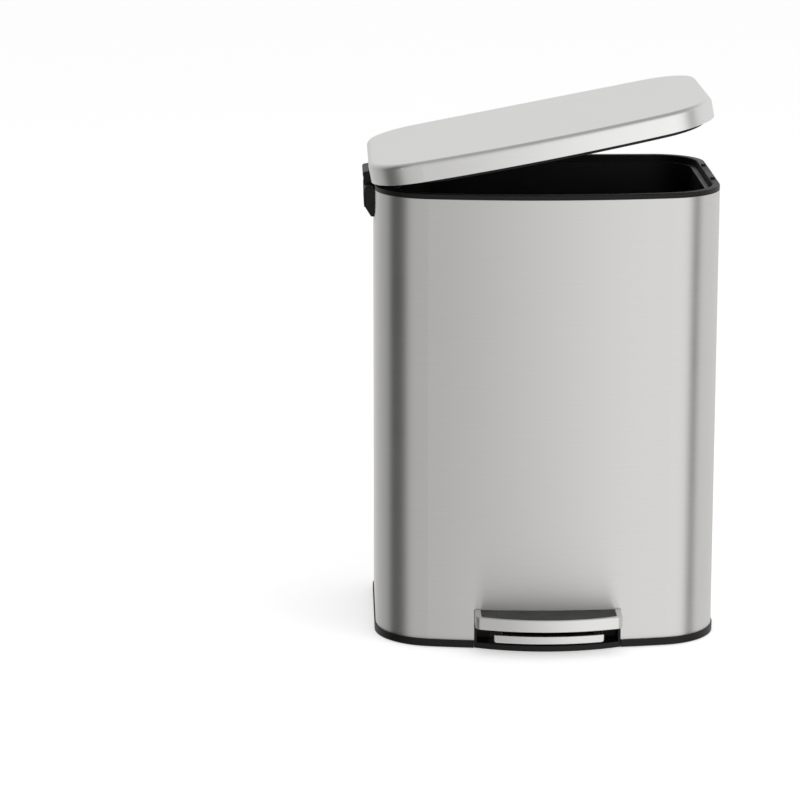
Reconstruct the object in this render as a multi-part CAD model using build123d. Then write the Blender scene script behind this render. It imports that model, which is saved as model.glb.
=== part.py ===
"""Rectangular step trash can of about fifty litres, with its lid hinged on the left short side.

A bow-fronted steel shell stands on a black moulded base. A collar tops the shell, and a tapered bucket
hangs in it. A pedal at the middle of the front turns a cross shaft under the base. The shaft's lift arm
raises a push rod inside the left wall, and the rod turns a crank on the lid, against a small damper.

Frame: millimetres, +Z up, the origin on the floor at the centre of the body's plan. The front with the
pedal faces -Y, and the lid's hinge is on the -X side. The lid is drawn partly open, as photographed.
"""
import os
from math import asin, cos, degrees, hypot, radians, sin, sqrt

from build123d import *

# Body plan
body_width = 410.0
body_depth = 312.0
front_corner_radius = 75.0
back_corner_radius = 60.0
bow_radius = 800.0

# Heights
shell_bottom = 10.0
shell_top = 545.0
deck_top = 39.0
floor_gap = 1.0

# Walls and clearances
sheet = 0.8
plastic_wall = 2.5
slip = 0.3
running = 0.08
seat = 0.05
press = 0.01

# Collar
collar_height = 6.0
collar_width = 9.0
collar_skirt = 20.0
ledge_width = 4.5
ledge_drop = 9.0
ledge_thickness = 3.0
channel_width = 13.0
collar_edge_fillet = 1.2
collar_skirt_wall = 2.0
collar_lip_start = 19.0
well_end_clearance = 1.3
well_side_clearance = 0.8

# Bucket
bucket_wall = 2.2
bucket_taper = 15.0
bucket_flange = 4.0

# Lid, drawn shut and then turned open
lid_gap = 2.0
lid_height = 24.0
lid_overhang = 1.5
lid_edge_fillet = 6.5
plug_depth = 5.5
plug_inset = 2.0
plug_left_inset = 9.0
liner_thickness = 2.5
lid_open_angle = 11.0
lid_travel_angle = 80.0

# Hinge on the left side
pin_outset = 6.5
pin_below_shell_top = 5.0
pin_radius = 2.5
knuckle_radius = 5.5
hinge_outset = 13.0
hinge_height = 38.0
hinge_half_width = 42.0
hinge_taper = 32.0
hinge_taper_depth = 8.0
hinge_window_inset = 22.0
arm_outer = 31.6
arm_inner = 12.0
body_knuckle_width = 9.8
hinge_tab_length = 34.0
hinge_tab_thickness = 4.4

# Crank and push rod
crank_radius = 18.0
crank_thickness = 5.0
crank_tip_radius = 4.0
crank_pin_radius = 2.0
crank_pin_half_length = 8.0
open_pivot_clearance = 0.8
cheek_thickness = 5.4
rod_radius = 3.0
rod_head_half_height = 6.0
rod_head_half_length = 7.3
guide_low = 70.0
guide_below_top = 75.0
guide_half_height = 6.0
guide_half_width = 8.0
guide_wall = 3.5
fork_depth = 11.5
fork_floor = 5.0

# Damper beside the rod
damper_offset = 24.0
damper_radius = 7.0
damper_wall = 2.0
damper_length = 90.0
damper_bottom = 330.0
piston_length = 8.0
piston_rod_radius = 2.0
piston_rest_lift = 12.0
link_thickness = 6.0
clip_height = 10.0
clip_half_width = 10.0
clip_low_inset = 20.0
clip_high_inset = 28.0

# Pedal and lever
shaft_radius = 4.0
shaft_behind_housing = 16.0
shaft_z = 22.0
hub_radius = 7.0
lift_tip_radius = 4.0
lift_arm_thickness = 5.0
lift_arm_inset = 33.0
lever_plate = 3.0
lever_half_width = 55.0
pedal_side_clearance = 0.4
pedal_reach = 44.0
pedal_side_reach = 28.0
pedal_corner_radius = 9.0
pedal_top = 48.5
pedal_band_height = 14.5
pedal_band_wall = 1.8
pedal_band_end = 7.0
core_corner_trim = 5.0
pedal_edge_fillet = 1.2
pad_thickness = 2.0
pad_recess = 0.4
pedal_gap = 1.5
bar_half_width = 65.5
bar_reach = 35.0
bar_depth = 6.0
bar_bottom = 16.5
bar_top = 26.0
bar_end_fillet = 3.0

# Pedal housing
housing_half_width = 88.0
housing_top = 48.0
housing_wall = 3.0
housing_depth = 27.0
housing_lip_reach = 14.0
housing_lip_height = 7.0
housing_proud = 0.5

# Base
base_proud = 1.5
base_wall = 4.0
rib_thickness = 2.5
rib_pitch = 52.0
rib_bottom = 12.0
foot_radius = 11.0
foot_height = 5.0
foot_boss_wall = 3.0
foot_side_inset = 55.0
foot_front_inset = 68.0
foot_back_inset = 48.0
foot_mid_spread = 75.0
foot_mid_inset = 28.0
bearing_from_arm = 16.0
bearing_from_lever = 19.0
bearing_half = 5.0
bearing_half_depth = 9.0
bearing_drop = 8.0
bearing_fillet = 5.0
shaft_overhang = 10.0
shaft_bay_front = 14.0
shaft_bay_back = 12.0
pedal_bay_side = 6.0
arm_bay_side = 8.0
arm_slot_start = 25.0
arm_slot_clearance = 1.5
foot_slot_clearance = 4.0
post_spread = 38.0
post_half_width = 10.0
post_front_reach = 16.0
post_back_reach = 4.0
rivet_radius = 4.0
rivet_height = 1.6
screw_radius = 2.0
screw_head_radius = 3.8
screw_head_height = 2.4

half_width = body_width / 2
half_depth = body_depth / 2
pedal_half_width = housing_half_width - pedal_side_clearance
housing_back_y = -half_depth + housing_depth
shaft_y = housing_back_y + shaft_behind_housing
lift_arm_x = -half_width + lift_arm_inset
bow_centre_y = -half_depth + bow_radius
collar_top = shell_top + collar_height
lid_bottom = collar_top + lid_gap
pin_x = -half_width - pin_outset
pin_z = shell_top - pin_below_shell_top
crank_swing = lid_travel_angle / 2
rod_travel = 2 * crank_radius * sin(radians(crank_swing))
rod_step = rod_travel / lid_travel_angle
rod_x = pin_x + crank_radius * (1 + cos(radians(crank_swing))) / 2
head_z = pin_z - rod_travel / 2 + rod_step * lid_open_angle
lift_arm_length = -shaft_y
pedal_travel_angle = 2 * degrees(asin(rod_travel / 2 / lift_arm_length))
pedal_step = pedal_travel_angle / lid_travel_angle
lift_rest_angle = -pedal_travel_angle / 2 + pedal_step * lid_open_angle
lift_tip_y = shaft_y + lift_arm_length * cos(radians(lift_rest_angle))
lift_tip_z = shaft_z + lift_arm_length * sin(radians(lift_rest_angle))
collar_inset = -collar_width
ledge_inset = -collar_width - ledge_width
ledge_top = shell_top - ledge_drop + ledge_thickness
base_top_inset = -sheet - slip


def outline(offset, left_inset=0.0):
    """The body's plan outline moved out by offset, with its left side a further left_inset in."""

    def corner(side, inset):
        centre_x = half_width - front_corner_radius - inset
        reach = bow_radius - front_corner_radius
        centre_y = bow_centre_y - sqrt(reach**2 - centre_x**2)
        ux, uy = centre_x / reach, (centre_y - bow_centre_y) / reach
        r = front_corner_radius + offset
        mid = hypot(ux + 1, uy)
        edge = half_width + offset - inset
        return {
            "bow": (side * ux * (bow_radius + offset), bow_centre_y + uy * (bow_radius + offset)),
            "mid": (side * (centre_x + r * (ux + 1) / mid), centre_y + r * uy / mid),
            "side": (side * edge, centre_y),
            "back": (side * edge, half_depth - back_corner_radius),
            "back_mid": (side * (edge - r_back * short), half_depth + offset - r_back * short),
            "back_end": (side * (edge - r_back), half_depth + offset),
        }

    r_back = back_corner_radius + offset
    short = 1 - sqrt(0.5)
    right, left = corner(1, 0.0), corner(-1, left_inset)
    edges = [
        ThreePointArc(left["bow"], (0, bow_centre_y - bow_radius - offset), right["bow"]),
        ThreePointArc(right["bow"], right["mid"], right["side"]),
        Line(right["side"], right["back"]),
        ThreePointArc(right["back"], right["back_mid"], right["back_end"]),
        Line(right["back_end"], left["back_end"]),
        ThreePointArc(left["back_end"], left["back_mid"], left["back"]),
        Line(left["back"], left["side"]),
        ThreePointArc(left["side"], left["mid"], left["bow"]),
    ]
    return make_face(Wire(edges))


def prism(face, low, high):
    """A face in plan, extruded from height low to height high."""
    return Pos(0, 0, low) * extrude(face, high - low)


def ring(outer, inner, low, high, left_inset=0.0):
    """The wall between two offsets of the outline."""
    return prism(outline(outer), low, high) - prism(outline(inner, left_inset), low - 1, high + 1)


def block(x0, x1, y0, y1, z0, z1):
    """A box between two corners."""
    return Pos((x0 + x1) / 2, (y0 + y1) / 2, (z0 + z1) / 2) * Box(x1 - x0, y1 - y0, z1 - z0)


def rod_along_x(radius, x0, x1, y, z):
    """A round bar along X."""
    return Pos((x0 + x1) / 2, y, z) * Rot(0, 90, 0) * Cylinder(radius, x1 - x0)


def rod_along_y(radius, y0, y1, x, z):
    """A round bar along Y."""
    return Pos(x, (y0 + y1) / 2, z) * Rot(90, 0, 0) * Cylinder(radius, y1 - y0)


def rod_along_z(radius, z0, z1, x, y):
    """A round bar along Z."""
    return Pos(x, y, (z0 + z1) / 2) * Cylinder(radius, z1 - z0)


def turned_open(shape):
    """A piece of the lid, drawn shut, turned about the hinge pin to its rest angle."""
    return Pos(pin_x, 0, pin_z) * Rot(0, -lid_open_angle, 0) * Pos(-pin_x, 0, -pin_z) * shape


def front_face_y(x, offset=0.0):
    """Where the bowed front stands at x."""
    return bow_centre_y - sqrt((bow_radius + offset) ** 2 - x**2)


# Body: shell, base, collar and bucket

slot_half = crank_thickness / 2 + 2.0
head_half_y = crank_thickness / 2 + 0.7 + cheek_thickness
crank_slot_depth = 27.0
hinge_screw_y = 22.0
hinge_screw_z = shell_top - hinge_height + 12.0
hinge_low = shell_top - hinge_height


def hinge_screw_places():
    """Y and Z of each hinge screw."""
    return [(side * hinge_screw_y, hinge_screw_z) for side in (-1, 1)]


def make_outer_shell():
    """Bowed steel sheet, cut out for the pedal housing, the crank and the hinge screws."""
    shell = ring(0, -sheet, shell_bottom, shell_top)
    shell -= block(-housing_half_width, housing_half_width, -half_depth - 20, housing_back_y, 0, housing_top)
    slot_bottom = shell_top - crank_slot_depth
    shell -= block(-half_width - 5, -half_width + 5, -slot_half, slot_half, slot_bottom, shell_top + 1)
    for y, z in hinge_screw_places():
        shell -= rod_along_x(screw_radius + slip, -half_width - 5, -half_width + 5, y, z)
    return shell


foot_places = [(side * (half_width - foot_side_inset), y) for side in (-1, 1)
               for y in (-half_depth + foot_front_inset, half_depth - foot_back_inset)]
foot_places += [(side * foot_mid_spread, half_depth - foot_mid_inset) for side in (-1, 1)]
foot_places.append((0.0, 0.0))
bearing_places = [lift_arm_x + bearing_from_arm, -lever_half_width - bearing_from_lever,
                  lever_half_width + bearing_from_lever]
shaft_right_end = lever_half_width + bearing_from_lever + shaft_overhang


def make_base_ribs():
    """Grid of ribs under the deck, left out round the shaft, the lift arm and the pedal."""
    columns = int(half_width // rib_pitch)
    half = rib_thickness / 2
    ribs = []
    for n in range(-columns, columns + 1):
        x = n * rib_pitch
        ribs.append(block(x - half, x + half, -half_depth, half_depth, rib_bottom, deck_top))
    for n in range(-1, 3):
        y = n * rib_pitch
        ribs.append(block(-half_width, half_width, y - half, y + half, rib_bottom, deck_top))
    grid = ribs[0]
    for rib in ribs[1:]:
        grid += rib
    front, back = shaft_y - shaft_bay_front, shaft_y + shaft_bay_back
    bay_end = housing_half_width + pedal_bay_side
    keep_out = block(-half_width, bay_end, front, back, 0, deck_top)
    keep_out += block(-half_width, lift_arm_x + arm_bay_side, front, shaft_bay_front, 0, deck_top)
    keep_out += block(-bay_end, bay_end, -half_depth - 5, shaft_y, 0, deck_top)
    rib_area = prism(outline(-base_wall), rib_bottom, deck_top - plastic_wall)
    return (grid & rib_area) - keep_out


def make_base_tray():
    """Moulded base with its deck, its ribs, a boss for each foot and the slots of the lifting gear."""
    foot_ring = ring(base_proud, -base_wall, floor_gap, shell_bottom)
    wall = ring(base_top_inset, -base_wall, shell_bottom, deck_top)
    deck = prism(outline(-base_wall), deck_top - plastic_wall, deck_top)
    tray = foot_ring + wall + deck + make_base_ribs()
    for x, y in foot_places:
        boss = rod_along_z(foot_radius + foot_boss_wall, floor_gap + 1.0, deck_top - 1, x, y)
        tray += boss & prism(outline(-base_proud), 0, deck_top)
        tray -= rod_along_z(foot_radius + slip, 0, foot_height + slip, x, y)
    housing_end = housing_half_width + slip
    tray -= block(-housing_end, housing_end, -half_depth - 5, housing_back_y + slip, 0, housing_top + 5)
    slot_half_y = foot_pad_radius + foot_slot_clearance
    slot_x0, slot_x1 = rod_foot_x0 - arm_slot_clearance, rod_foot_x1 + arm_slot_clearance
    foot_slot = block(slot_x0, slot_x1, -slot_half_y, slot_half_y, rib_bottom, deck_top + 1)
    arm_half = lift_arm_thickness / 2 + arm_slot_clearance
    arm_x0, arm_x1 = lift_arm_x - arm_half, lift_arm_x + arm_half
    arm_slot = block(arm_x0, arm_x1, shaft_y + arm_slot_start, slot_half_y, rib_bottom, deck_top + 1)
    return tray - foot_slot - arm_slot


def make_feet():
    """Rubber discs pressed into the base."""
    return [rod_along_z(foot_radius, 0, foot_height, x, y) for x, y in foot_places]


def make_collar():
    """Collar over the shell's edge, with a ledge for the bucket and a well for the rod's head."""
    top = ring(0, collar_inset, shell_top + seat, collar_top, channel_width)
    top = fillet(top.edges().filter_by(lambda e: abs(e.center().Z - collar_top) < 0.01), collar_edge_fillet)
    skirt_inset = base_top_inset - collar_skirt_wall
    skirt = ring(base_top_inset, skirt_inset, shell_top - collar_skirt, shell_top + 0.1)
    ledge = ring(base_top_inset - 1.0, ledge_inset, ledge_top - ledge_thickness, ledge_top, channel_width)
    web = ring(skirt_inset + 0.2, collar_inset, shell_top - 1.9, shell_top + 0.1, channel_width)
    lip = ring(collar_inset + 2.0, collar_inset, ledge_top - 0.1, shell_top, channel_width)
    lip &= block(-half_width + collar_lip_start, half_width, -half_depth, half_depth, 0, collar_top)
    collar = top + skirt + ledge + web + lip
    well_x = rod_x + rod_head_half_length + well_end_clearance
    well_y = head_half_y + well_side_clearance
    well = block(-half_width + sheet + 0.5, well_x, -well_y, well_y, 0, collar_top + 1)
    notch = block(-half_width - 2, rod_x, -slot_half, slot_half, 0, collar_top + 1)
    return collar - well - notch


bumper_radius = 3.0
bumper_inset = 5.0
bumper_places = [(half_width - bumper_inset, y) for y in (-40.0, 60.0)]
bumper_places += [(x, half_depth - bumper_inset) for x in (-60.0, 60.0)]


def make_bumpers():
    """Rubber buttons that the lid shuts on."""
    return [rod_along_z(bumper_radius, collar_top, lid_bottom - 0.1, x, y) for x, y in bumper_places]


def make_bucket():
    """Tapered bucket that hangs from the ledge by its flange."""
    rim_inset = ledge_inset - slip - 0.5
    flange_bottom = ledge_top + slip / 3
    flange = prism(outline(collar_inset - 0.8, channel_width), flange_bottom, flange_bottom + bucket_flange)
    low = deck_top + slip
    outer = loft([
        Pos(0, 0, low) * outline(rim_inset - bucket_taper, channel_width),
        Pos(0, 0, flange_bottom + 0.5) * outline(rim_inset, channel_width),
    ])
    inner = loft([
        Pos(0, 0, low + bucket_wall) * outline(rim_inset - bucket_taper - bucket_wall, channel_width),
        Pos(0, 0, flange_bottom + bucket_flange + 1) * outline(rim_inset - bucket_wall, channel_width),
    ])
    return (flange + outer) - inner


def make_housing():
    """Box round the pedal, open in front and behind, with a bowed lip under the pedal."""
    half, back_y = housing_half_width, housing_back_y
    lip_top = housing_lip_height + floor_gap
    front = prism(outline(housing_proud), floor_gap, housing_top)
    front &= block(-half, half, -half_depth - 5, back_y, 0, housing_top)
    inner = half - housing_wall
    hollow = block(-inner, inner, -half_depth - 5, back_y - housing_wall, lip_top, housing_top - housing_wall)
    way = bar_half_width + housing_wall
    passage = block(-way, way, back_y - 10, back_y + 10, lip_top, deck_top - plastic_wall - 1)
    end_y = front_face_y(half, housing_proud)
    lip_face = make_face(Wire([
        ThreePointArc((-half, end_y), (0, -half_depth - housing_lip_reach), (half, end_y)),
        Line((half, end_y), (half, back_y)),
        Line((half, back_y), (-half, back_y)),
        Line((-half, back_y), (-half, end_y)),
    ]))
    return front - hollow - passage + prism(lip_face, floor_gap, lip_top)


# Hinge, on the body

backplate_thickness = 2.0


def make_hinge_housing():
    """Hinge block on the shell's left side, tapered below, with a knuckle at each end."""
    outer_x = -half_width - hinge_outset
    body = block(outer_x, -half_width - slip, -hinge_half_width, hinge_half_width, hinge_low, pin_z)
    outer_edges = body.edges().filter_by(lambda e: e.center().X < outer_x + 0.1)
    body = fillet(outer_edges.filter_by(Axis.Z), 4.0)
    cutter = Box(2 * hinge_taper_depth, 2 * hinge_half_width + 16, 2 * hinge_height)
    body -= Pos(outer_x - 0.5, 0, hinge_low - 0.5) * Rot(0, -hinge_taper, 0) * cutter
    pocket_half = hinge_half_width - body_knuckle_width
    for side in (-1, 1):
        y0, y1 = sorted((side * hinge_half_width, side * pocket_half))
        body += rod_along_y(knuckle_radius, y0, y1, pin_x, pin_z)
    pocket_bottom = pin_z - knuckle_radius - 1.2
    body -= block(outer_x - 2, -half_width, -pocket_half, pocket_half, pocket_bottom, pin_z + 10)
    window_half = pocket_half - hinge_window_inset
    body -= block(outer_x + 3, -half_width, -window_half, window_half, hinge_low + 4, pin_z)
    body -= rod_along_y(pin_radius + running, -hinge_half_width - 1, hinge_half_width + 1, pin_x, pin_z)
    for y, z in hinge_screw_places():
        body -= rod_along_x(screw_radius + slip, outer_x - 1, -half_width, y, z)
        body -= rod_along_x(screw_head_radius + slip, outer_x - 1, outer_x + screw_head_height + 0.6, y, z)
    return body


def make_hinge_pin():
    """Headed pin through all the knuckles."""
    pin = rod_along_y(pin_radius, -hinge_half_width - 0.8, hinge_half_width + 0.8, pin_x, pin_z)
    head = rod_along_y(pin_radius + 1.2, hinge_half_width + 0.1, hinge_half_width + 1.7, pin_x, pin_z)
    return pin + head


def make_hinge_screws():
    """Screws through the hinge block and the shell into the plate behind it."""
    screws = []
    for y, z in hinge_screw_places():
        head_x = -half_width - hinge_outset + 0.5
        head = rod_along_x(screw_head_radius, head_x, head_x + screw_head_height, y, z)
        shank = rod_along_x(screw_radius, head_x, -half_width + sheet + backplate_thickness + 1.5, y, z)
        screws.append(head + shank)
    return screws


def make_backplate():
    """Plate inside the shell that takes the hinge screws, cut out round the rod's head."""
    x0 = -half_width + sheet + seat
    x1 = x0 + backplate_thickness
    half_y = hinge_half_width - 4
    plate = block(x0, x1, -half_y, half_y, hinge_low + 3, shell_top - collar_skirt - 1)
    for y, z in hinge_screw_places():
        plate -= rod_along_x(screw_radius + running, x0 - 1, x1 + 1, y, z)
    return plate - block(x0 - 1, rod_x + 10, -head_half_y - 1, head_half_y + 1, head_z - 22, shell_top)


# Lid, drawn shut

def at_height(shape, z):
    """The edges of a shape that lie at height z."""
    return shape.edges().filter_by(lambda e: abs(e.center().Z - z) < 0.01)


def make_lid_shell():
    """Pressed steel lid with a rounded top edge, notched for the hinge."""
    top_z = lid_bottom + lid_height
    solid = prism(outline(lid_overhang), lid_bottom, top_z)
    solid = fillet(at_height(solid, top_z), lid_edge_fillet)
    inner = prism(outline(lid_overhang - sheet), lid_bottom - 1, top_z - sheet)
    inner = fillet(at_height(inner, top_z - sheet), lid_edge_fillet - sheet)
    shell = solid - inner
    notch_top = lid_bottom + liner_thickness + 1.0 + hinge_tab_thickness + 0.6
    half_y = arm_outer + 1
    return shell - block(-half_width - 5, -half_width + 2, -half_y, half_y, lid_bottom - 1, notch_top)


def make_lid_liner():
    """Moulded plate under the lid, with a hollow plug that enters the collar."""
    plate = prism(outline(lid_overhang - sheet - slip), lid_bottom + 0.2, lid_bottom + 0.2 + liner_thickness)
    plug_offset = collar_inset - plug_inset
    left = channel_width + plug_left_inset - plug_inset
    plug_bottom = lid_bottom - plug_depth
    plug = prism(outline(plug_offset, left), plug_bottom, lid_bottom + 1)
    plug = fillet(at_height(plug, plug_bottom), 1.5)
    hollow = prism(outline(plug_offset - plastic_wall, left), plug_bottom + liner_thickness, lid_bottom + 10)
    liner = plate + plug - hollow
    for x, y in lid_screw_places():
        liner -= rod_along_z(screw_radius + slip / 2, lid_bottom - 5, lid_bottom + 10, x, y)
    return liner


def lid_screw_places():
    """X and Y of each lid screw."""
    return [(-half_width + 14.0, side * 22.0) for side in (-1, 1)]


hinge_tab_low = lid_bottom + 0.2 + liner_thickness + 0.1


def make_lid_hinge():
    """Lid's half of the hinge: a tab under the lid, a wall down its end and two knuckles."""
    outer_x = pin_x - knuckle_radius + 1.0
    inner_x = -half_width - lid_overhang - 0.3
    top_z = hinge_tab_low + hinge_tab_thickness
    wall = block(outer_x, inner_x, -arm_outer, arm_outer, pin_z + knuckle_radius + 2, top_z)
    wall = fillet(at_height(wall, top_z).filter_by(lambda e: e.center().X < outer_x + 0.1), 3.0)
    tab = block(inner_x - 1, -half_width + hinge_tab_length - 8, -arm_outer, arm_outer, hinge_tab_low, top_z)
    hinge = wall + tab
    for side in (-1, 1):
        y0, y1 = sorted((side * arm_inner, side * arm_outer))
        hinge += rod_along_y(knuckle_radius, y0, y1, pin_x, pin_z)
        hinge += block(outer_x, inner_x, y0, y1, pin_z, pin_z + knuckle_radius + 3)
    hinge -= rod_along_y(pin_radius + running, -arm_outer - 1, arm_outer + 1, pin_x, pin_z)
    crank_half = crank_thickness / 2 + seat
    hinge -= block(outer_x - 1, inner_x + press, -crank_half, crank_half, 0, top_z - 1.5)
    for x, y in lid_screw_places():
        hinge -= rod_along_z(screw_radius + slip / 2, lid_bottom, lid_bottom + 20, x, y)
    return hinge


def make_lid_screws():
    """Screws up through the liner into the hinge tab."""
    screws = []
    for x, y in lid_screw_places():
        head_z0 = lid_bottom + 0.15 - screw_head_height + 1.0
        head = rod_along_z(screw_head_radius, head_z0, lid_bottom + 0.15, x, y)
        shank = rod_along_z(screw_radius, head_z0, hinge_tab_low + hinge_tab_thickness, x, y)
        screws.append(head + shank)
    return screws


def make_lid_crank():
    """Crank on the lid, with the pin that runs in the rod head's slot."""
    angle = radians(-crank_swing)
    tip_x, tip_z = pin_x + crank_radius * cos(angle), pin_z + crank_radius * sin(angle)
    half = crank_thickness / 2
    hub = rod_along_y(knuckle_radius, -half, half, pin_x, pin_z)
    tip = rod_along_y(crank_tip_radius, -half, half, tip_x, tip_z)
    bar = Box(crank_radius, crank_thickness, crank_tip_radius * 1.9)
    arm = Pos((pin_x + tip_x) / 2, 0, (pin_z + tip_z) / 2) * Rot(0, crank_swing, 0) * bar
    tab = block(pin_x - 3.4, -half_width - lid_overhang - 0.35, -half, half, pin_z, hinge_tab_low + 2.0)
    crank = hub + tip + arm + tab
    crank -= rod_along_y(pin_radius + running, -half - 1, half + 1, pin_x, pin_z)
    return crank + rod_along_y(crank_pin_radius, -crank_pin_half_length, crank_pin_half_length, tip_x, tip_z)


# Push rod, inside the left wall

foot_pad_radius = 5.0
foot_pad_z = lift_tip_z + lift_tip_radius + foot_pad_radius + slip
foot_top = foot_pad_z + 15.0
guide_places = [guide_low, shell_top - guide_below_top]
rod_foot_x0 = rod_x - 5.5
rod_foot_x1 = lift_arm_x + lift_arm_thickness / 2 + 1.0
head_bottom = head_z - fork_depth - fork_floor
link_z = damper_bottom - link_thickness - rod_travel - 2.0


def make_push_rod():
    """Steel rod between its foot and its head."""
    return rod_along_z(rod_radius, foot_pad_z + 2.0, head_bottom + 3.0, rod_x, 0)


def make_rod_foot():
    """Foot that carries the rod out to the lift arm, with a rounded pad under it."""
    foot = rod_along_x(foot_pad_radius, rod_foot_x0, rod_foot_x1, 0, foot_pad_z)
    foot += block(rod_foot_x0, rod_foot_x1, -foot_pad_radius, foot_pad_radius, foot_pad_z, foot_pad_z + 5.0)
    foot += rod_along_z(5.5, foot_pad_z, foot_top, rod_x, 0)
    return foot - rod_along_z(rod_radius + press, foot_pad_z + 2.0, foot_top + 1, rod_x, 0)


def make_rod_head():
    """Forked head of the rod, slotted across for the crank's pin."""
    x0, x1 = rod_x - rod_head_half_length, rod_x + rod_head_half_length
    far_y = head_half_y + 1
    head = block(x0, x1, -head_half_y, head_half_y, head_bottom, head_z + rod_head_half_height)
    head = fillet(head.edges().filter_by(Axis.Y), 1.5)
    gap = head_half_y - cheek_thickness
    head -= block(x0 - 1, x1 + 1, -gap, gap, head_z - fork_depth, head_z + rod_head_half_height + 1)
    low_x = pin_x + crank_radius * cos(radians(crank_swing))
    high_x = pin_x + crank_radius
    slot_r = crank_pin_radius + open_pivot_clearance
    head -= rod_along_y(slot_r, -far_y, far_y, low_x, head_z)
    head -= rod_along_y(slot_r, -far_y, far_y, high_x, head_z)
    head -= block(low_x, high_x, -far_y, far_y, head_z - slot_r, head_z + slot_r)
    return head - rod_along_z(rod_radius + press, head_bottom - 1, head_bottom + 3.0, rod_x, 0)


def make_rod_guides():
    """Eyes inside the shell that the rod slides in."""
    guides = []
    x0, x1 = -half_width + sheet + seat, rod_x + rod_radius + guide_wall
    for z in guide_places:
        low, high = z - guide_half_height, z + guide_half_height
        guide = block(x0, x1, -guide_half_width, guide_half_width, low, high)
        guide = fillet(guide.edges().filter_by(Axis.Z).filter_by(lambda e: e.center().X > rod_x), 3.0)
        guides.append(guide - rod_along_z(rod_radius + running, low - 2, high + 2, rod_x, 0))
    return guides


def make_damper_cylinder():
    """Closed cylinder of the damper, with a neck for the piston's rod."""
    low, high = damper_bottom, damper_bottom + damper_length
    outer = rod_along_z(damper_radius, low, high, rod_x, damper_offset)
    outer = fillet(outer.edges(), 1.2)
    bore = rod_along_z(damper_radius - damper_wall, low + 3, high - 3, rod_x, damper_offset)
    neck = rod_along_z(piston_rod_radius + running, low - 1, low + 4, rod_x, damper_offset)
    return outer - bore - neck


def make_damper_clips():
    """Clips that hold the damper to the shell."""
    clips = []
    x0 = -half_width + sheet + seat
    y0, y1 = damper_offset - clip_half_width, damper_offset + clip_half_width
    for low in (damper_bottom + clip_low_inset, damper_bottom + damper_length - clip_high_inset):
        high = low + clip_height
        clip = block(x0, rod_x + 3, y0, y1, low, high)
        clips.append(clip - rod_along_z(damper_radius + seat, low - 1, high + 1, rod_x, damper_offset))
    return clips


def make_damper_piston():
    """Piston and its rod, which the link moves with the push rod."""
    low = damper_bottom + piston_rest_lift
    piston_radius = damper_radius - damper_wall - running
    piston = rod_along_z(piston_radius, low, low + piston_length, rod_x, damper_offset)
    return piston + rod_along_z(piston_rod_radius, link_z + link_thickness, low + 1, rod_x, damper_offset)


def make_damper_link():
    """Bar that ties the damper's rod to the push rod."""
    link = block(rod_x - 5, rod_x + 5, -6, damper_offset + 5, link_z, link_z + link_thickness)
    link = fillet(link.edges().filter_by(Axis.Z), 3.0)
    return link - rod_along_z(rod_radius + press, link_z - 1, link_z + link_thickness + 1, rod_x, 0)


# Pedal and lever, under the base

def make_bearings():
    """Blocks under the deck that the cross shaft turns in."""
    bearings = []
    y0, y1 = shaft_y - bearing_half_depth, shaft_y + bearing_half_depth
    top = deck_top - plastic_wall - seat
    for x in bearing_places:
        bearing = block(x - bearing_half, x + bearing_half, y0, y1, shaft_z - bearing_drop, top)
        bearing = fillet(bearing.edges().group_by(Axis.Z)[0].filter_by(Axis.X), bearing_fillet)
        x0, x1 = x - 2 * bearing_half, x + 2 * bearing_half
        bearings.append(bearing - rod_along_x(shaft_radius + running, x0, x1, shaft_y, shaft_z))
    return bearings


def make_cross_shaft():
    """Shaft that joins the pedal's lever to the lift arm."""
    left_end = lift_arm_x - lift_arm_thickness / 2 - 1.0
    return rod_along_x(shaft_radius, left_end, shaft_right_end, shaft_y, shaft_z)


def make_lift_arm():
    """Arm on the shaft, with a round tip under the rod's foot."""
    x0, x1 = lift_arm_x - lift_arm_thickness / 2, lift_arm_x + lift_arm_thickness / 2
    middle = Pos(lift_arm_x, (shaft_y + lift_tip_y) / 2, (shaft_z + lift_tip_z) / 2)
    arm = middle * Rot(lift_rest_angle, 0, 0) * Box(lift_arm_thickness, lift_arm_length, 2 * lift_tip_radius)
    arm += rod_along_x(hub_radius, x0, x1, shaft_y, shaft_z)
    arm += rod_along_x(lift_tip_radius, x0, x1, lift_tip_y, lift_tip_z)
    return arm - rod_along_x(shaft_radius + press, x0 - 1, x1 + 1, shaft_y, shaft_z)


def pedal_plan(half, reach, side_reach, corner):
    """Bow-fronted plan of the pedal, with its back well inside the body."""
    front_y, side_y = -half_depth - reach, -half_depth - side_reach
    face = make_face(Wire([
        ThreePointArc((-half, side_y), (0, front_y), (half, side_y)),
        Line((half, side_y), (half, -half_depth + 12)),
        Line((half, -half_depth + 12), (-half, -half_depth + 12)),
        Line((-half, -half_depth + 12), (-half, side_y)),
    ]))
    if corner:
        face = fillet(face.vertices().filter_by(lambda v: v.Y < side_y + 0.1), corner)
    return face


def behind_the_pedal(low, high):
    """What the pedal's back edge has to stay clear of."""
    return prism(outline(pedal_gap), low - 1, high + 1)


def make_pedal_band():
    """Steel band round the pedal's front and ends."""
    low = pedal_top - pedal_band_height
    plan = pedal_plan(pedal_half_width, pedal_reach, pedal_side_reach, pedal_corner_radius)
    band = prism(plan, low, pedal_top)
    front_edges = at_height(band, pedal_top).filter_by(lambda e: e.center().Y < -half_depth)
    band = fillet(front_edges, pedal_edge_fillet)
    return band - prism(core_plan(0.0), low - 1, pedal_top + 1) - behind_the_pedal(low, pedal_top)


def core_plan(fit=seat):
    """The space inside the steel band, less the fit."""
    wall, end = pedal_band_wall + fit, pedal_band_end + fit
    corner = pedal_corner_radius - core_corner_trim
    return pedal_plan(pedal_half_width - end, pedal_reach - wall, pedal_side_reach - wall, corner)


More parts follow.
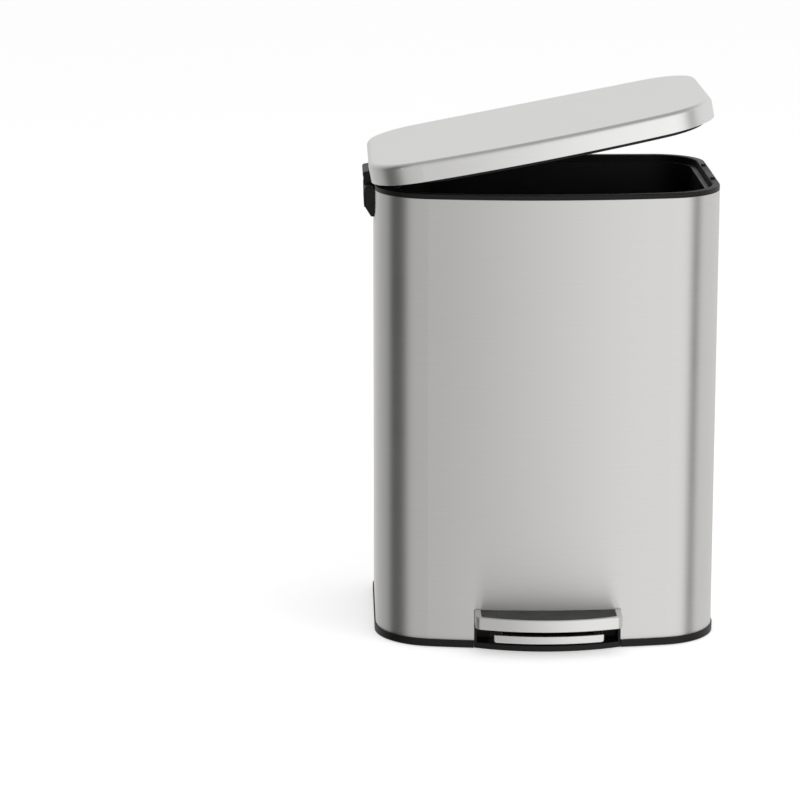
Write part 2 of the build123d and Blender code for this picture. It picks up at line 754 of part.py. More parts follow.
def make_pedal_core():
    """Moulded body of the pedal, with two posts that stand on the lever."""
    low, high = pedal_top - pedal_band_height + 1.0, pedal_top - pad_thickness - pad_recess - seat
    core = prism(core_plan(), low, high) - behind_the_pedal(low, high)
    post_bottom = shaft_z + lever_plate / 2 + seat
    y0, y1 = -half_depth - post_front_reach, -half_depth - post_back_reach
    for side in (-1, 1):
        x = side * post_spread
        core += block(x - post_half_width, x + post_half_width, y0, y1, post_bottom, low + 1)
    return core


def make_pedal_pad():
    """Rubber tread let into the pedal."""
    low, high = pedal_top - pad_thickness - pad_recess, pedal_top - pad_recess
    return prism(core_plan(), low, high) - behind_the_pedal(low, high)


def make_pedal_bar():
    """Steel bar across the lever's front edge."""
    front_y = -half_depth - bar_reach
    drop = (pedal_reach - pedal_side_reach) * (bar_half_width / pedal_half_width) ** 2
    outer = ThreePointArc((-bar_half_width, front_y + drop), (0, front_y), (bar_half_width, front_y + drop))
    back_y = front_y + bar_depth
    inner = ThreePointArc((bar_half_width, back_y + drop), (0, back_y), (-bar_half_width, back_y + drop))
    face = make_face(Wire([outer, Line(outer @ 1, inner @ 0), inner, Line(inner @ 1, outer @ 0)]))
    bar = prism(face, bar_bottom, bar_top)
    lower_ends = bar.edges().filter_by(Axis.Y).filter_by(lambda e: e.center().Z < bar_bottom + 0.1)
    bar = fillet(lower_ends, bar_end_fillet)
    long_edges = bar.edges().filter_by(lambda e: e.length > bar_half_width)
    return fillet(long_edges.filter_by(lambda e: e.center().Y < front_y + drop / 2 + 1), 1.0)


def make_pedal_lever():
    """Plate from the bar back to a hub on the shaft."""
    half = lever_half_width
    front_y = -half_depth - bar_reach + bar_depth + seat
    side_y = front_y + (pedal_reach - pedal_side_reach) * (half / pedal_half_width) ** 2
    face = make_face(Wire([
        ThreePointArc((-half, side_y), (0, front_y), (half, side_y)),
        Line((half, side_y), (half, shaft_y)),
        Line((half, shaft_y), (-half, shaft_y)),
        Line((-half, shaft_y), (-half, side_y)),
    ]))
    plate = prism(face, shaft_z - lever_plate / 2, shaft_z + lever_plate / 2)
    plate += rod_along_x(hub_radius, -half, half, shaft_y, shaft_z)
    return plate - rod_along_x(shaft_radius + press, -half - 1, half + 1, shaft_y, shaft_z)


def make_pedal_rivets():
    """Rivet heads under the lever, below the pedal's posts."""
    y = -half_depth - (post_front_reach + post_back_reach) / 2
    high = shaft_z - lever_plate / 2 - seat
    low = high + seat - rivet_height
    return [rod_along_z(rivet_radius, low, high, side * post_spread, y) for side in (-1, 1)]


nodes = {
    "outer_shell": make_outer_shell,
    "base_tray": make_base_tray,
    "rubber_feet": make_feet,
    "rim_collar": make_collar,
    "lid_bumpers": make_bumpers,
    "inner_bucket": make_bucket,
    "pedal_housing": make_housing,
    "hinge_housing": make_hinge_housing,
    "hinge_pin": make_hinge_pin,
    "hinge_screws": make_hinge_screws,
    "hinge_backplate": make_backplate,
    "rod_guides": make_rod_guides,
    "damper_cylinder": make_damper_cylinder,
    "damper_clips": make_damper_clips,
    "shaft_bearings": make_bearings,
    "push_rod": make_push_rod,
    "rod_foot": make_rod_foot,
    "rod_head": make_rod_head,
    "damper_piston": make_damper_piston,
    "damper_link": make_damper_link,
    "cross_shaft": make_cross_shaft,
    "lift_arm": make_lift_arm,
    "pedal_lever": make_pedal_lever,
    "pedal_core": make_pedal_core,
    "pedal_band": make_pedal_band,
    "pedal_pad": make_pedal_pad,
    "pedal_lower_bar": make_pedal_bar,
    "pedal_rivets": make_pedal_rivets,
}
lid_nodes = {
    "lid_shell": make_lid_shell,
    "lid_liner": make_lid_liner,
    "lid_hinge": make_lid_hinge,
    "lid_screws": make_lid_screws,
    "lid_crank": make_lid_crank,
}


def as_one(made):
    """A single shape, or several separate solids as one compound."""
    return Compound(children=list(made)) if isinstance(made, list) else made


os.makedirs("parts", exist_ok=True)
for name, make in nodes.items():
    export_step(as_one(make()), f"parts/{name}.step")
for name, make in lid_nodes.items():
    made = make()
    opened = [turned_open(s) for s in made] if isinstance(made, list) else turned_open(made)
    export_step(as_one(opened), f"parts/{name}.step")
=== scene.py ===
"""Looks of the step trash can: its finishes, its resting place, the light and the camera."""

from __future__ import annotations

import logging
import math
from dataclasses import dataclass
from enum import Enum
from typing import Any, Iterable

import bpy
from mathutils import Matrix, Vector

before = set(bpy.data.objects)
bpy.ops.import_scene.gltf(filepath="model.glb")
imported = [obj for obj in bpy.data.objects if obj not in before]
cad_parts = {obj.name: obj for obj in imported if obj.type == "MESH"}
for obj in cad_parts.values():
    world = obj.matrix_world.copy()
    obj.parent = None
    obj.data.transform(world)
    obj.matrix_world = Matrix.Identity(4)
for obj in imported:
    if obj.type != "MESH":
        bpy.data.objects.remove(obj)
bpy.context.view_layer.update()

LOG = logging.getLogger("step_can")


class Grain(Enum):
    """Which way a brushed or moulded texture runs on a piece."""

    ALONG_X = (0.02, 1.0, 1.0)
    AROUND = (0.02, 0.02, 1.0)
    EVEN = (1.0, 1.0, 1.0)


def linear_from_hex(code: str) -> tuple[float, float, float, float]:
    """Turn an sRGB hex colour into the linear colour that a shader takes.

    Args:
        code: Six hex digits, with or without a leading hash.

    Returns:
        Linear red, green and blue with an alpha of one.
    """
    digits = code.lstrip("#")
    channels = [int(digits[i : i + 2], 16) / 255 for i in (0, 2, 4)]
    linear = [c / 12.92 if c <= 0.04045 else ((c + 0.055) / 1.055) ** 2.4 for c in channels]
    return linear[0], linear[1], linear[2], 1.0


def add_node(
    tree: bpy.types.NodeTree, kind: str, settings: dict[str, Any] | None = None, **inputs: Any
) -> bpy.types.Node:
    """Add one node, set it up and link it.

    Args:
        tree: Node tree the node goes into.
        kind: Blender's identifier of the node.
        settings: Attributes of the node, by name.
        inputs: Input sockets by name, with underscores for spaces. A socket as the value is linked.

    Returns:
        The new node.
    """
    made = tree.nodes.new(kind)
    for name, value in (settings or {}).items():
        setattr(made, name, value)
    for name, value in inputs.items():
        key = int(name[2:]) if name.startswith("in") and name[2:].isdigit() else name.replace("_", " ")
        if isinstance(value, bpy.types.NodeSocket):
            tree.links.new(value, made.inputs[key])
        else:
            made.inputs[key].default_value = value
    return made


def new_material(name: str) -> tuple[bpy.types.Material, bpy.types.NodeTree]:
    """Make an empty node material.

    Args:
        name: What the real material is.

    Returns:
        The material and its cleared node tree.
    """
    material = bpy.data.materials.new(name)
    material.use_nodes = True
    material.node_tree.nodes.clear()
    return material, material.node_tree


def object_space(tree: bpy.types.NodeTree, stretch: tuple[float, float, float]) -> bpy.types.NodeSocket:
    """Give the piece's own metres, stretched along its grain.

    Args:
        tree: Node tree of the material.
        stretch: Factor on each axis.

    Returns:
        The mapped coordinate.
    """
    place = add_node(tree, "ShaderNodeTexCoord")
    return add_node(tree, "ShaderNodeMapping", Vector=place.outputs["Object"], Scale=stretch).outputs[0]


def ramp(
    tree: bpy.types.NodeTree, factor: bpy.types.NodeSocket, stops: Iterable[tuple[float, str]]
) -> bpy.types.NodeSocket:
    """Colour a factor by hex stops.

    Args:
        tree: Node tree of the material.
        factor: Value between zero and one.
        stops: Positions with their hex colours.

    Returns:
        The colour.
    """
    made = add_node(tree, "ShaderNodeValToRGB", Fac=factor)
    band = made.color_ramp
    for index, (position, code) in enumerate(stops):
        stop = band.elements[index] if index < 2 else band.elements.new(position)
        stop.position = position
        stop.color = linear_from_hex(code)
    return made.outputs[0]


def spread(
    tree: bpy.types.NodeTree,
    factor: bpy.types.NodeSocket,
    low: float,
    high: float,
    start: float = 0.0,
    end: float = 1.0,
) -> bpy.types.NodeSocket:
    """Map a factor onto a range.

    Args:
        tree: Node tree of the material.
        factor: Value to map.
        low: Result at the start.
        high: Result at the end.
        start: Value that gives low.
        end: Value that gives high.

    Returns:
        The mapped value.
    """
    made = add_node(
        tree, "ShaderNodeMapRange", Value=factor, From_Min=start, From_Max=end, To_Min=low, To_Max=high
    )
    return made.outputs[0]


def noise(
    tree: bpy.types.NodeTree,
    place: bpy.types.NodeSocket,
    per_metre: float,
    detail: float,
    roughness: float = 0.5,
) -> bpy.types.NodeSocket:
    """Add cloudy noise.

    Args:
        tree: Node tree of the material.
        place: Coordinate in metres.
        per_metre: Features in a metre.
        detail: Octaves of finer noise.
        roughness: Strength of each finer octave.

    Returns:
        The noise, between zero and one.
    """
    made = add_node(
        tree, "ShaderNodeTexNoise", Vector=place, Scale=per_metre, Detail=detail, Roughness=roughness
    )
    return made.outputs[0]


def blend(
    tree: bpy.types.NodeTree, share: float, first: bpy.types.NodeSocket, second: bpy.types.NodeSocket
) -> bpy.types.NodeSocket:
    """Mix two values.

    Args:
        tree: Node tree of the material.
        share: Share of the second.
        first: First value.
        second: Second value.

    Returns:
        The mixed value.
    """
    made = add_node(tree, "ShaderNodeMix", {"data_type": "FLOAT"}, Factor=share, in2=first, in3=second)
    return made.outputs[0]


def bumped(
    tree: bpy.types.NodeTree, height: bpy.types.NodeSocket, strength: float, height_um: float, **inputs: Any
) -> bpy.types.NodeSocket:
    """Turn a height into a bumped normal.

    Args:
        tree: Node tree of the material.
        height: Height between zero and one.
        strength: Share of the bump that is kept.
        height_um: Real height of the bump.
        inputs: Further sockets of the node, such as the normal under the bump.

    Returns:
        The normal.
    """
    made = add_node(
        tree, "ShaderNodeBump", Height=height, Strength=strength, Distance=height_um * 1e-6, **inputs
    )
    return made.outputs[0]


def show_surface(tree: bpy.types.NodeTree, **inputs: Any) -> None:
    """Add the surface shader and the output that shows it.

    Args:
        tree: Node tree of the material.
        inputs: Sockets of the shader by name.
    """
    shader = add_node(tree, "ShaderNodeBsdfPrincipled", **inputs)
    add_node(tree, "ShaderNodeOutputMaterial", Surface=shader.outputs[0])


def eased_edges(tree: bpy.types.NodeTree, radius_mm: float) -> bpy.types.NodeSocket:
    """Round off the look of every sharp edge, as deburring or a mould does.

    Args:
        tree: Node tree of the material.
        radius_mm: Radius of the eased edge.

    Returns:
        The eased normal.
    """
    return add_node(tree, "ShaderNodeBevel", {"samples": 4}, Radius=radius_mm / 1000).outputs[0]


@dataclass(frozen=True)
class BrushedSteel:
    """Stainless sheet, brushed with a fine belt: long soft streaks, and reflections drawn out across them."""

    name: str
    grain: Grain
    dark: str = "DDDCDA"
    pale: str = "E5E4E3"
    rough_low: float = 0.36
    rough_high: float = 0.42
    anisotropy: float = 0.9
    edge_mm: float = 0.4
    # Belt scratches are about 0.1 mm apart. They are drawn 1.1 mm apart so that they show.
    scratch_mm: float = 1.1
    bump_um: float = 8.0
    bump_strength: float = 0.1
    # Soft clouds some 90 mm across: where the belt pressed harder.
    clouds_per_metre: float = 11.0
    cloud_share: float = 0.45

    def build(self) -> bpy.types.Material:
        """Make the material.

        Returns:
            The finished material.
        """
        material, tree = new_material(self.name)
        along = object_space(tree, self.grain.value)
        scratches = noise(tree, along, 1000 / self.scratch_mm, 4.0, 0.6)
        clouds = noise(tree, object_space(tree, Grain.EVEN.value), self.clouds_per_metre, 2.0)
        both = blend(tree, self.cloud_share, scratches, clouds)
        normal = bumped(
            tree, scratches, self.bump_strength, self.bump_um, Normal=eased_edges(tree, self.edge_mm)
        )
        # Scratches run round the sheet, so the shine is drawn out up and down, a quarter turn from the
        # tangent.
        tangent = add_node(tree, "ShaderNodeTangent", {"direction_type": "RADIAL", "axis": "Z"})
        show_surface(
            tree,
            Base_Color=ramp(tree, both, ((0.3, self.dark), (0.7, self.pale))),
            Metallic=1.0,
            Roughness=spread(tree, both, self.rough_low, self.rough_high, 0.3, 0.7),
            Anisotropic=self.anisotropy,
            Anisotropic_Rotation=0.25,
            Normal=normal,
            Tangent=tangent.outputs[0],
        )
        return material


@dataclass(frozen=True)
class MouldedPlastic:
    """Injection-moulded plastic with a spark-eroded mould texture: a fine pebble that softens its shine."""

    name: str
    dark: str
    pale: str
    rough_low: float = 0.38
    rough_high: float = 0.52
    specular: float = 0.3
    edge_mm: float = 0.5
    # Mould pebble of about 0.3 mm, drawn at 0.9 mm so that it shows.
    pebble_mm: float = 0.9
    bump_um: float = 25.0
    bump_strength: float = 0.35
    # Flow marks some 60 mm long.
    flow_per_metre: float = 16.0

    def build(self) -> bpy.types.Material:
        """Make the material.

        Returns:
            The finished material.
        """
        material, tree = new_material(self.name)
        even = object_space(tree, Grain.EVEN.value)
        pebble = noise(tree, even, 1000 / self.pebble_mm, 3.0, 0.55)
        flow = noise(tree, even, self.flow_per_metre, 3.0)
        edges = eased_edges(tree, self.edge_mm)
        normal = bumped(tree, pebble, self.bump_strength, self.bump_um, Normal=edges)
        show_surface(
            tree,
            Base_Color=ramp(tree, flow, ((0.3, self.dark), (0.75, self.pale))),
            Roughness=spread(tree, flow, self.rough_low, self.rough_high, 0.3, 0.75),
            Specular_IOR_Level=self.specular,
            Normal=normal,
        )
        return material


@dataclass(frozen=True)
class ZincPlate:
    """Pressed steel with bright zinc plate: a cool grey with faint spangle."""

    name: str
    dark: str = "8A8C8E"
    pale: str = "B4B6B8"
    rough_low: float = 0.28
    rough_high: float = 0.5
    edge_mm: float = 0.3
    # Spangle of 2 to 6 mm, as it grows on electroplated sheet.
    spangle_mm: float = 4.0
    # Wear marks some 11 mm across.
    wear_per_metre: float = 90.0
    wear_share: float = 0.6
    bump_um: float = 10.0
    bump_strength: float = 0.1

    def build(self) -> bpy.types.Material:
        """Make the material.

        Returns:
            The finished material.
        """
        material, tree = new_material(self.name)
        even = object_space(tree, Grain.EVEN.value)
        spangle = add_node(tree, "ShaderNodeTexVoronoi", Vector=even, Scale=1000 / self.spangle_mm)
        wear = noise(tree, even, self.wear_per_metre, 5.0)
        both = blend(tree, self.wear_share, spangle.outputs["Distance"], wear)
        normal = bumped(tree, wear, self.bump_strength, self.bump_um, Normal=eased_edges(tree, self.edge_mm))
        show_surface(
            tree,
            Base_Color=ramp(tree, both, ((0.2, self.dark), (0.7, self.pale))),
            Metallic=1.0,
            Roughness=spread(tree, both, self.rough_low, self.rough_high),
            Normal=normal,
        )
        return material


@dataclass(frozen=True)
class PowderCoat:
    """Steel with a baked black powder coat: a low orange peel that breaks up its shine."""

    name: str
    dark: str = "0C0C0D"
    pale: str = "151516"
    rough_low: float = 0.4
    rough_high: float = 0.55
    specular: float = 0.35
    edge_mm: float = 0.5
    # Orange peel of 1 to 2 mm.
    peel_mm: float = 1.6
    peel_height_um: float = 30.0
    peel_strength: float = 0.25
    # Dust some 18 mm across.
    dust_per_metre: float = 55.0

    def build(self) -> bpy.types.Material:
        """Make the material.

        Returns:
            The finished material.
        """
        material, tree = new_material(self.name)
        even = object_space(tree, Grain.EVEN.value)
        peel = noise(tree, even, 1000 / self.peel_mm, 1.0)
        dust = noise(tree, even, self.dust_per_metre, 4.0)
        edges = eased_edges(tree, self.edge_mm)
        show_surface(
            tree,
            Base_Color=ramp(tree, dust, ((0.3, self.dark), (0.7, self.pale))),
            Roughness=spread(tree, dust, self.rough_low, self.rough_high, 0.3, 0.7),
            Specular_IOR_Level=self.specular,
            Normal=bumped(tree, peel, self.peel_strength, self.peel_height_um, Normal=edges),
        )
        return material


@dataclass(frozen=True)
class MouldedRubber:
    """Soft moulded rubber: dull, with a fine dust-holding skin and, on a tread, low ribs."""

    name: str
    dark: str = "1B1B1C"
    pale: str = "2A2A2B"
    rough_low: float = 0.62
    rough_high: float = 0.85
    specular: float = 0.3
    grain_mm: float = 1.2
    grain_height_um: float = 30.0
    bump_strength: float = 0.5
    # Paler patches some 25 mm across.
    patches_per_metre: float = 40.0
    # Ribs run along X. Zero leaves them out.
    rib_pitch_mm: float = 0.0
    rib_height_um: float = 350.0
    grain_on_ribs: float = 0.15

    def height(self, tree: bpy.types.NodeTree, even: bpy.types.NodeSocket) -> bpy.types.NodeSocket:
        """Give the height of the skin, and of the ribs where there are any.

        Args:
            tree: Node tree of the material.
            even: The piece's own metres.

        Returns:
            Height between zero and one.
        """
        skin = noise(tree, even, 1000 / self.grain_mm, 4.0)
        if not self.rib_pitch_mm:
            return skin
        # A band texture turns once in 2 pi / 20 of its scale.
        turns = 2 * math.pi / 20 * 1000 / self.rib_pitch_mm
        bands = {"wave_type": "BANDS", "bands_direction": "Y"}
        ribs = add_node(tree, "ShaderNodeTexWave", bands, Vector=even, Scale=turns)
        return blend(tree, self.grain_on_ribs, ribs.outputs["Fac"], skin)

    def build(self) -> bpy.types.Material:
        """Make the material.

        Returns:
            The finished material.
        """
        material, tree = new_material(self.name)
        even = object_space(tree, Grain.EVEN.value)
        height = self.height(tree, even)
        patches = noise(tree, even, self.patches_per_metre, 2.0)
        height_um = self.rib_height_um if self.rib_pitch_mm else self.grain_height_um
        show_surface(
            tree,
            Base_Color=ramp(tree, patches, ((0.3, self.dark), (0.7, self.pale))),
            Roughness=spread(tree, height, self.rough_low, self.rough_high),
            Specular_IOR_Level=self.specular,
            Normal=bumped(tree, height, self.bump_strength, height_um),
        )
        return material


Finish = BrushedSteel | MouldedPlastic | ZincPlate | PowderCoat | MouldedRubber

BLACK_PLASTIC = MouldedPlastic("moulded_black_polypropylene", "0B0B0C", "131314")
HARDWARE = ZincPlate("zinc_plated_steel")
BLACK_COAT = PowderCoat("black_powder_coated_steel")
RUBBER = MouldedRubber("black_rubber")


@dataclass
class SubAssembly:
    """Pieces of the can that belong together, with the finish of each."""

    title: str

    def finishes(self) -> dict[str, Finish]:
        """Give the finish of each piece.

        Returns:
            Finishes by the piece's name.
        """
        raise NotImplementedError

    def dress(self, nodes: dict[str, bpy.types.Object], made: dict[str, bpy.types.Material]) -> None:
        """Give each piece its finish.

        Args:
            nodes: Pieces by name.
            made: Materials made so far, by name.
        """
        for name, finish in self.finishes().items():
            if finish.name not in made:
                made[finish.name] = finish.build()
            piece = nodes[name]
            piece.data.materials.clear()
            piece.data.materials.append(made[finish.name])
            LOG.info("%s: %s in %s", self.title, name, finish.name)


@dataclass
class CanBody(SubAssembly):
    """The steel shell on its plastic base, the collar round its mouth and the bucket in it."""

    title: str = "body"
    streak_mm: float = 1.1

    def finishes(self) -> dict[str, Finish]:
        """Give the finish of each piece.

        Returns:
            Finishes by the piece's name.
        """
        bucket = MouldedPlastic(
            "moulded_black_bucket_polypropylene", "101012", "1A1A1C", rough_low=0.34, rough_high=0.46
        )
        return {
            "outer_shell": BrushedSteel("brushed_stainless_body", Grain.AROUND, scratch_mm=self.streak_mm),
            "base_tray": BLACK_PLASTIC,
            "rubber_feet": RUBBER,
            "rim_collar": BLACK_PLASTIC,
            "lid_bumpers": RUBBER,
            "inner_bucket": bucket,
            "pedal_housing": BLACK_PLASTIC,
            "shaft_bearings": BLACK_PLASTIC,
        }


@dataclass
class LidHinge(SubAssembly):
    """The hinge on the can's side, with its pin, screws and plates."""

    title: str = "hinge"

    def finishes(self) -> dict[str, Finish]:
        """Give the finish of each piece.

        Returns:
            Finishes by the piece's name.
        """
        return {
            "hinge_housing": BLACK_PLASTIC,
            "hinge_pin": BLACK_COAT,
            "hinge_screws": BLACK_COAT,
            "hinge_backplate": HARDWARE,
        }


@dataclass
class CanLid(SubAssembly):
    """The pressed steel lid with its liner and its half of the hinge."""

    title: str = "lid"
    streak_mm: float = 1.4

    def finishes(self) -> dict[str, Finish]:
        """Give the finish of each piece.

        Returns:
            Finishes by the piece's name.
        """
        steel = BrushedSteel(
            "satin_stainless_lid",
            Grain.ALONG_X,
            dark="F1F0EE",
            pale="F6F6F4",
            rough_low=0.3,
            rough_high=0.36,
            anisotropy=0.0,
            scratch_mm=self.streak_mm,
        )
        return {
            "lid_shell": steel,
            "lid_liner": BLACK_PLASTIC,
            "lid_hinge": BLACK_PLASTIC,
            "lid_screws": HARDWARE,
            "lid_crank": BLACK_COAT,
        }


@dataclass
class LiftGear(SubAssembly):
    """The rod that lifts the lid, with its guides and its damper."""

    title: str = "lifting rod"

    def finishes(self) -> dict[str, Finish]:
        """Give the finish of each piece.

        Returns:
            Finishes by the piece's name.
        """
        acetal = MouldedPlastic(
            "moulded_grey_acetal", "46474A", "55565A", rough_low=0.3, rough_high=0.4, specular=0.5
        )
        return {
            "rod_guides": BLACK_PLASTIC,
            "damper_cylinder": acetal,
            "damper_clips": HARDWARE,
            "push_rod": HARDWARE,
            "rod_foot": BLACK_PLASTIC,
            "rod_head": BLACK_PLASTIC,
            "damper_piston": HARDWARE,
            "damper_link": BLACK_PLASTIC,
        }


@dataclass
class FootPedal(SubAssembly):
    """The pedal with its steel band and rubber tread, and the shaft that it turns."""

    title: str = "pedal"
    tread_pitch_mm: float = 5.0

    def finishes(self) -> dict[str, Finish]:
        """Give the finish of each piece.

        Returns:
            Finishes by the piece's name.
        """
        steel = BrushedSteel(
            "satin_stainless_pedal",
            Grain.ALONG_X,
            dark="E0DFDC",
            pale="E8E7E5",
            rough_low=0.28,
            rough_high=0.34,
            anisotropy=0.0,
            edge_mm=1.2,
        )
        tread = MouldedRubber(
            "grey_pedal_rubber", dark="434441", pale="4D4E4B", rib_pitch_mm=self.tread_pitch_mm
        )
        return {
            "cross_shaft": HARDWARE,
            "lift_arm": HARDWARE,
            "pedal_lever": BLACK_COAT,
            "pedal_core": BLACK_PLASTIC,
            "pedal_band": steel,
            "pedal_pad": tread,
            "pedal_lower_bar": steel,
            "pedal_rivets": BLACK_COAT,
        }


@dataclass(frozen=True)
class SoftLamp:
    """A large soft lamp that looks at the can."""

    name: str
    place: tuple[float, float, float]
    size: tuple[float, float]
    watts: float
    look_at: tuple[float, float, float] = (0.0, 0.0, 0.3)
    mirrored: bool = True

    def hang(self) -> bpy.types.Object:
        """Put the lamp in the scene.

        Returns:
            The lamp.
        """
        data = bpy.data.lights.new(self.name, "AREA")
        data.shape = "RECTANGLE"
        data.size, data.size_y = self.size
        data.energy = self.watts
        lamp = bpy.data.objects.new(self.name, data)
        lamp.visible_glossy = self.mirrored
        lamp.location = self.place
        aim = Vector(self.look_at) - Vector(self.place)
        lamp.rotation_euler = aim.to_track_quat("-Z", "Y").to_euler()
        bpy.context.scene.collection.objects.link(lamp)
        return lamp


@dataclass(frozen=True)
class Viewpoint:
    """Where the photograph was taken from. Lengths in metres, angles in degrees."""

    distance: float = 4.0
    turned: float = 3.7
    height: float = 1.202
    heading: float = 1.21
    tilt: float = 13.12
    # Focal length in pixels of a frame this many pixels wide.
    focal_px: float = 3342.9
    frame_px: int = 800
    sensor_mm: float = 36.0

    def place(self) -> bpy.types.Object:
        """Stand the camera there and make it the scene's.

        Returns:
            The camera.
        """
        data = bpy.data.cameras.new("camera")
        data.lens = self.focal_px * self.sensor_mm / self.frame_px
        data.sensor_width = self.sensor_mm
        camera = bpy.data.objects.new("camera", data)
        turned, heading, tilt = (math.radians(a) for a in (self.turned, self.heading, self.tilt))
        camera.location = (
            -math.sin(turned) * self.distance, -math.cos(turned) * self.distance, self.height
        )
        level = math.cos(tilt)
        aim = Vector((math.sin(heading) * level, math.cos(heading) * level, -math.sin(tilt)))
        camera.rotation_euler = aim.to_track_quat("-Z", "Y").to_euler()
        bpy.context.scene.collection.objects.link(camera)
        bpy.context.scene.camera = camera
        return camera


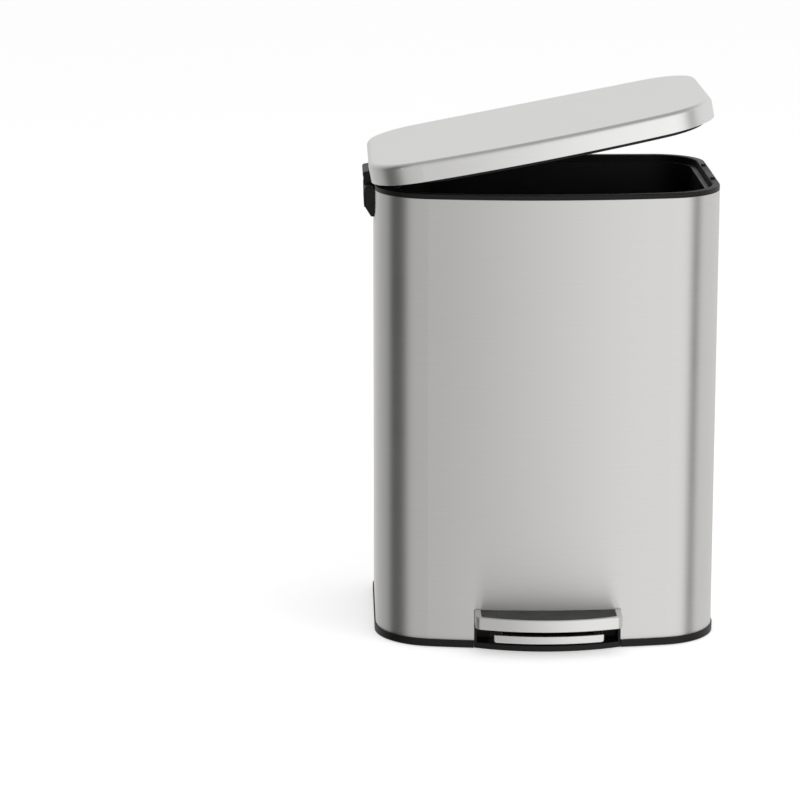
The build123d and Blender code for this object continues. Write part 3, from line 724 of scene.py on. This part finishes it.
@dataclass
class Studio:
    """The floor, the surrounding light, the lamps and the camera."""

    floor_half: float = 60.0
    glow: float = 0.5
    # The glow starts at the first distance from the can's middle and is full at the second.
    clear_across: tuple[float, float] = (0.1, 0.12)
    clear_along: tuple[float, float] = (0.13, 0.145)
    # Plain grey light by compass angle from the front, in degrees, left negative: a dim softbox in front
    # on the left, a bright one on the right, a dark gap beside each, and the open room behind.
    surround: tuple[tuple[float, str], ...] = (
        (-180.0, "DCDCDC"),
        (-105.0, "A0A0A0"),
        (-95.0, "404040"),
        (-70.0, "606060"),
        (-55.0, "C0C0C0"),
        (-20.0, "C0C0C0"),
        (20.0, "FAFAFA"),
        (60.0, "FAFAFA"),
        (75.0, "707070"),
        (90.0, "DCDCDC"),
        (180.0, "DCDCDC"),
    )
    # The air over the can: darker than the softboxes round it.
    overhead: str = "A0A0A0"
    underfoot: str = "E4E4E4"
    # Heights on the unit sphere between which the ring gives way to the light above and below.
    overhead_rise: tuple[float, float] = (0.58, 0.85)
    underfoot_fall: tuple[float, float] = (-0.6, -0.9)
    strength: float = 1.07
    floor_colour: str = "F6F6F6"
    white: str = "FFFFFF"
    lamps: tuple[SoftLamp, ...] = (
        SoftLamp("lamp_above", (0.2, -0.3, 2.6), (2.0, 2.0), 12.0, mirrored=False),
        SoftLamp("lamp_right", (2.4, -1.8, 2.0), (1.4, 1.4), 9.0, mirrored=False),
    )

    viewpoint: Viewpoint = Viewpoint()

    def out_in_the_open(self, tree: bpy.types.NodeTree) -> bpy.types.NodeSocket:
        """Give the floor's own glow, with none under the can, where its shadow is deep.

        Args:
            tree: Node tree of the floor.

        Returns:
            Strength of the glow.
        """
        place = add_node(tree, "ShaderNodeTexCoord")
        parts = add_node(tree, "ShaderNodeSeparateXYZ", Vector=place.outputs["Object"])
        across = add_node(tree, "ShaderNodeMath", {"operation": "ABSOLUTE"}, in0=parts.outputs[0])
        along = add_node(tree, "ShaderNodeMath", {"operation": "ABSOLUTE"}, in0=parts.outputs[1])
        sides = spread(tree, across.outputs[0], 0.0, self.glow, *self.clear_across)
        ends = spread(tree, along.outputs[0], 0.0, self.glow, *self.clear_along)
        return add_node(tree, "ShaderNodeMath", {"operation": "MAXIMUM"}, in0=sides, in1=ends).outputs[0]

    def lay_floor(self) -> None:
        """Lay the pale floor that takes the can's shadow."""
        h = self.floor_half
        mesh = bpy.data.meshes.new("floor")
        mesh.from_pydata([(-h, -h, 0), (h, -h, 0), (h, h, 0), (-h, h, 0)], [], [(0, 1, 2, 3)])
        floor = bpy.data.objects.new("floor", mesh)
        floor.visible_glossy = False
        bpy.context.scene.collection.objects.link(floor)
        material, tree = new_material("pale_floor")
        path = add_node(tree, "ShaderNodeLightPath")
        colour = linear_from_hex(self.floor_colour)
        shader = add_node(tree, "ShaderNodeBsdfPrincipled", Base_Color=colour, Roughness=0.95)
        seen, in_the_open = path.outputs["Is Camera Ray"], self.out_in_the_open(tree)
        glow = add_node(tree, "ShaderNodeMath", {"operation": "MULTIPLY"}, in0=seen, in1=in_the_open)
        white = linear_from_hex(self.white)
        lift = add_node(tree, "ShaderNodeEmission", Color=white, Strength=glow.outputs[0])
        both = add_node(tree, "ShaderNodeAddShader", in0=shader.outputs[0], in1=lift.outputs[0])
        add_node(tree, "ShaderNodeOutputMaterial", Surface=both.outputs[0])
        mesh.materials.append(material)

    def light_surround(self) -> None:
        """Light the can from all round by compass angle, with a white background behind it."""
        world = bpy.data.worlds.new("studio")
        bpy.context.scene.world = world
        world.use_nodes = True
        tree = world.node_tree
        tree.nodes.clear()
        path = add_node(tree, "ShaderNodeLightPath")
        place = add_node(tree, "ShaderNodeTexCoord")
        parts = add_node(tree, "ShaderNodeSeparateXYZ", Vector=place.outputs["Generated"])
        front = add_node(tree, "ShaderNodeMath", {"operation": "MULTIPLY"}, in0=parts.outputs[1], in1=-1.0)
        to_angle = {"operation": "ARCTAN2"}
        angle = add_node(tree, "ShaderNodeMath", to_angle, in0=parts.outputs[0], in1=front.outputs[0])
        share = spread(tree, angle.outputs[0], 0.0, 1.0, -math.pi, math.pi)
        ring = ramp(tree, share, [((degrees + 180) / 360, code) for degrees, code in self.surround])
        # Straight up and down the compass angle means nothing, so each has one light of its own.
        high = spread(tree, parts.outputs[2], 0.0, 1.0, *self.overhead_rise)
        low = spread(tree, parts.outputs[2], 0.0, 1.0, *self.underfoot_fall)
        of_colour = {"data_type": "RGBA"}
        above, below = linear_from_hex(self.overhead), linear_from_hex(self.underfoot)
        lidded = add_node(tree, "ShaderNodeMix", of_colour, in0=high, in6=ring, in7=above)
        closed = add_node(tree, "ShaderNodeMix", of_colour, in0=low, in6=lidded.outputs[2], in7=below)
        even = add_node(tree, "ShaderNodeBackground", Color=closed.outputs[2], Strength=self.strength)
        white = add_node(tree, "ShaderNodeBackground", Color=linear_from_hex(self.white), Strength=1.0)
        to_camera = path.outputs["Is Camera Ray"]
        seen = add_node(
            tree, "ShaderNodeMixShader", Fac=to_camera, in1=even.outputs[0], in2=white.outputs[0]
        )
        add_node(tree, "ShaderNodeOutputWorld", Surface=seen.outputs[0])

    def build(self) -> None:
        """Set up the whole studio."""
        bpy.context.scene.view_settings.view_transform = "Standard"
        self.lay_floor()
        self.light_surround()
        for lamp in self.lamps:
            lamp.hang()
            LOG.info("studio: %s", lamp.name)
        self.viewpoint.place()


def main() -> None:
    """Dress every piece and set up the studio."""
    logging.basicConfig(level=logging.INFO)
    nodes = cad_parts
    made: dict[str, bpy.types.Material] = {}
    for assembly in (CanBody(), LidHinge(), CanLid(), LiftGear(), FootPedal()):
        assembly.dress(nodes, made)
    Studio().build()


if __name__ == "__main__":
    main()
